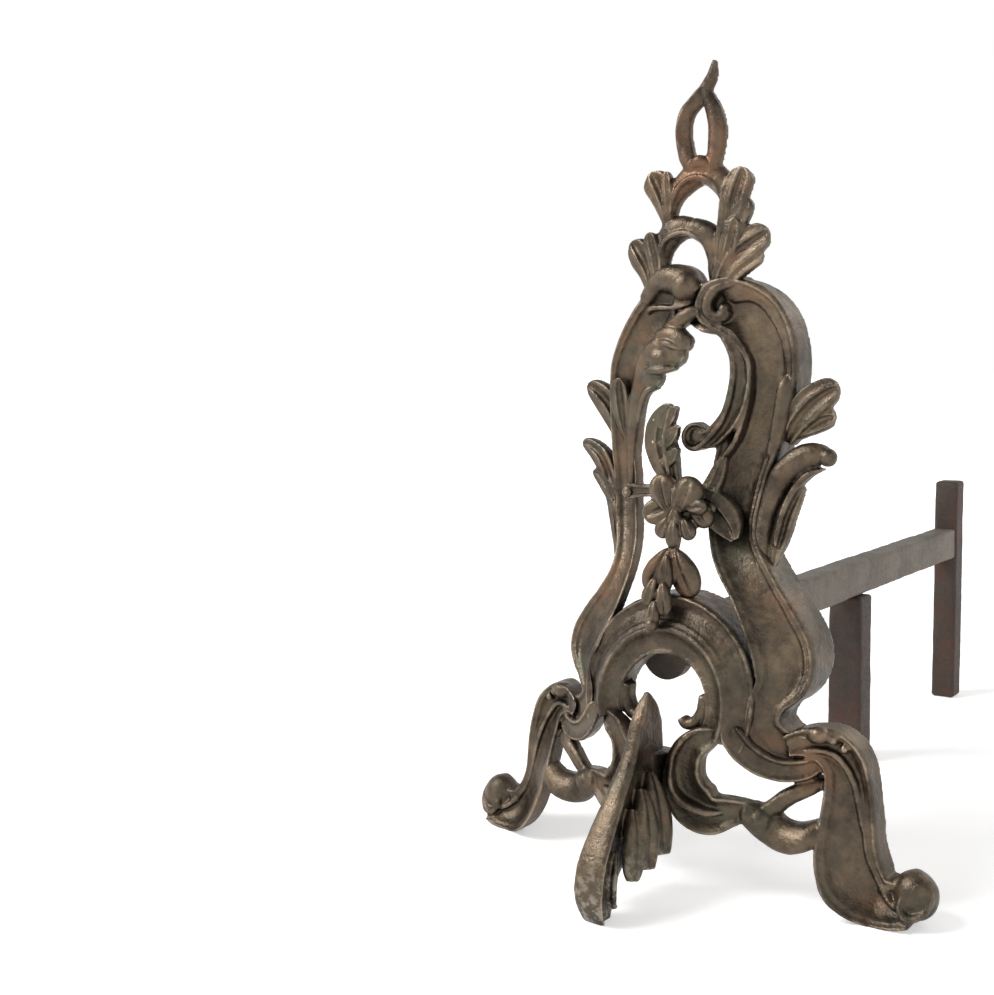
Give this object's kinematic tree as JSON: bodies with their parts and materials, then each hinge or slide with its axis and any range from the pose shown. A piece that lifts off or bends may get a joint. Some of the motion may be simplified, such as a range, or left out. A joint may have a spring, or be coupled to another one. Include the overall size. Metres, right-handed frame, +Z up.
{
  "type": "andiron",
  "caption": "Rococo andiron: pierced bronze scroll front with lyre, flower spray and flame finial, carried by a forged iron log bar with middle foot and rear post",
  "frame": {"origin": "centre of the bounding box's base, on the floor in the middle plane of the log bar", "axes": "+X to the right seen from the front, +Y from the ornamented front to the rear post, +Z up"},
  "size_m": [0.258, 0.498, 0.4],
  "materials": {
    "bronze": "dark brown patina, worn golden on the ridges",
    "iron": "forged, grey-brown, lightly rusted",
    "rusty_iron": "forged, dark red-brown rust"
  },
  "bodies": {
    "root": {"front_casting": "bronze", "console_foot": "bronze", "flower_spray": "bronze", "fixing_plate": "iron", "billet_bar": "iron", "mid_foot": "rusty_iron", "rear_post": "rusty_iron", "plate_screws": "rusty_iron", "console_screw": "rusty_iron", "spray_rivets": "bronze"}
  },
  "joints": []
}
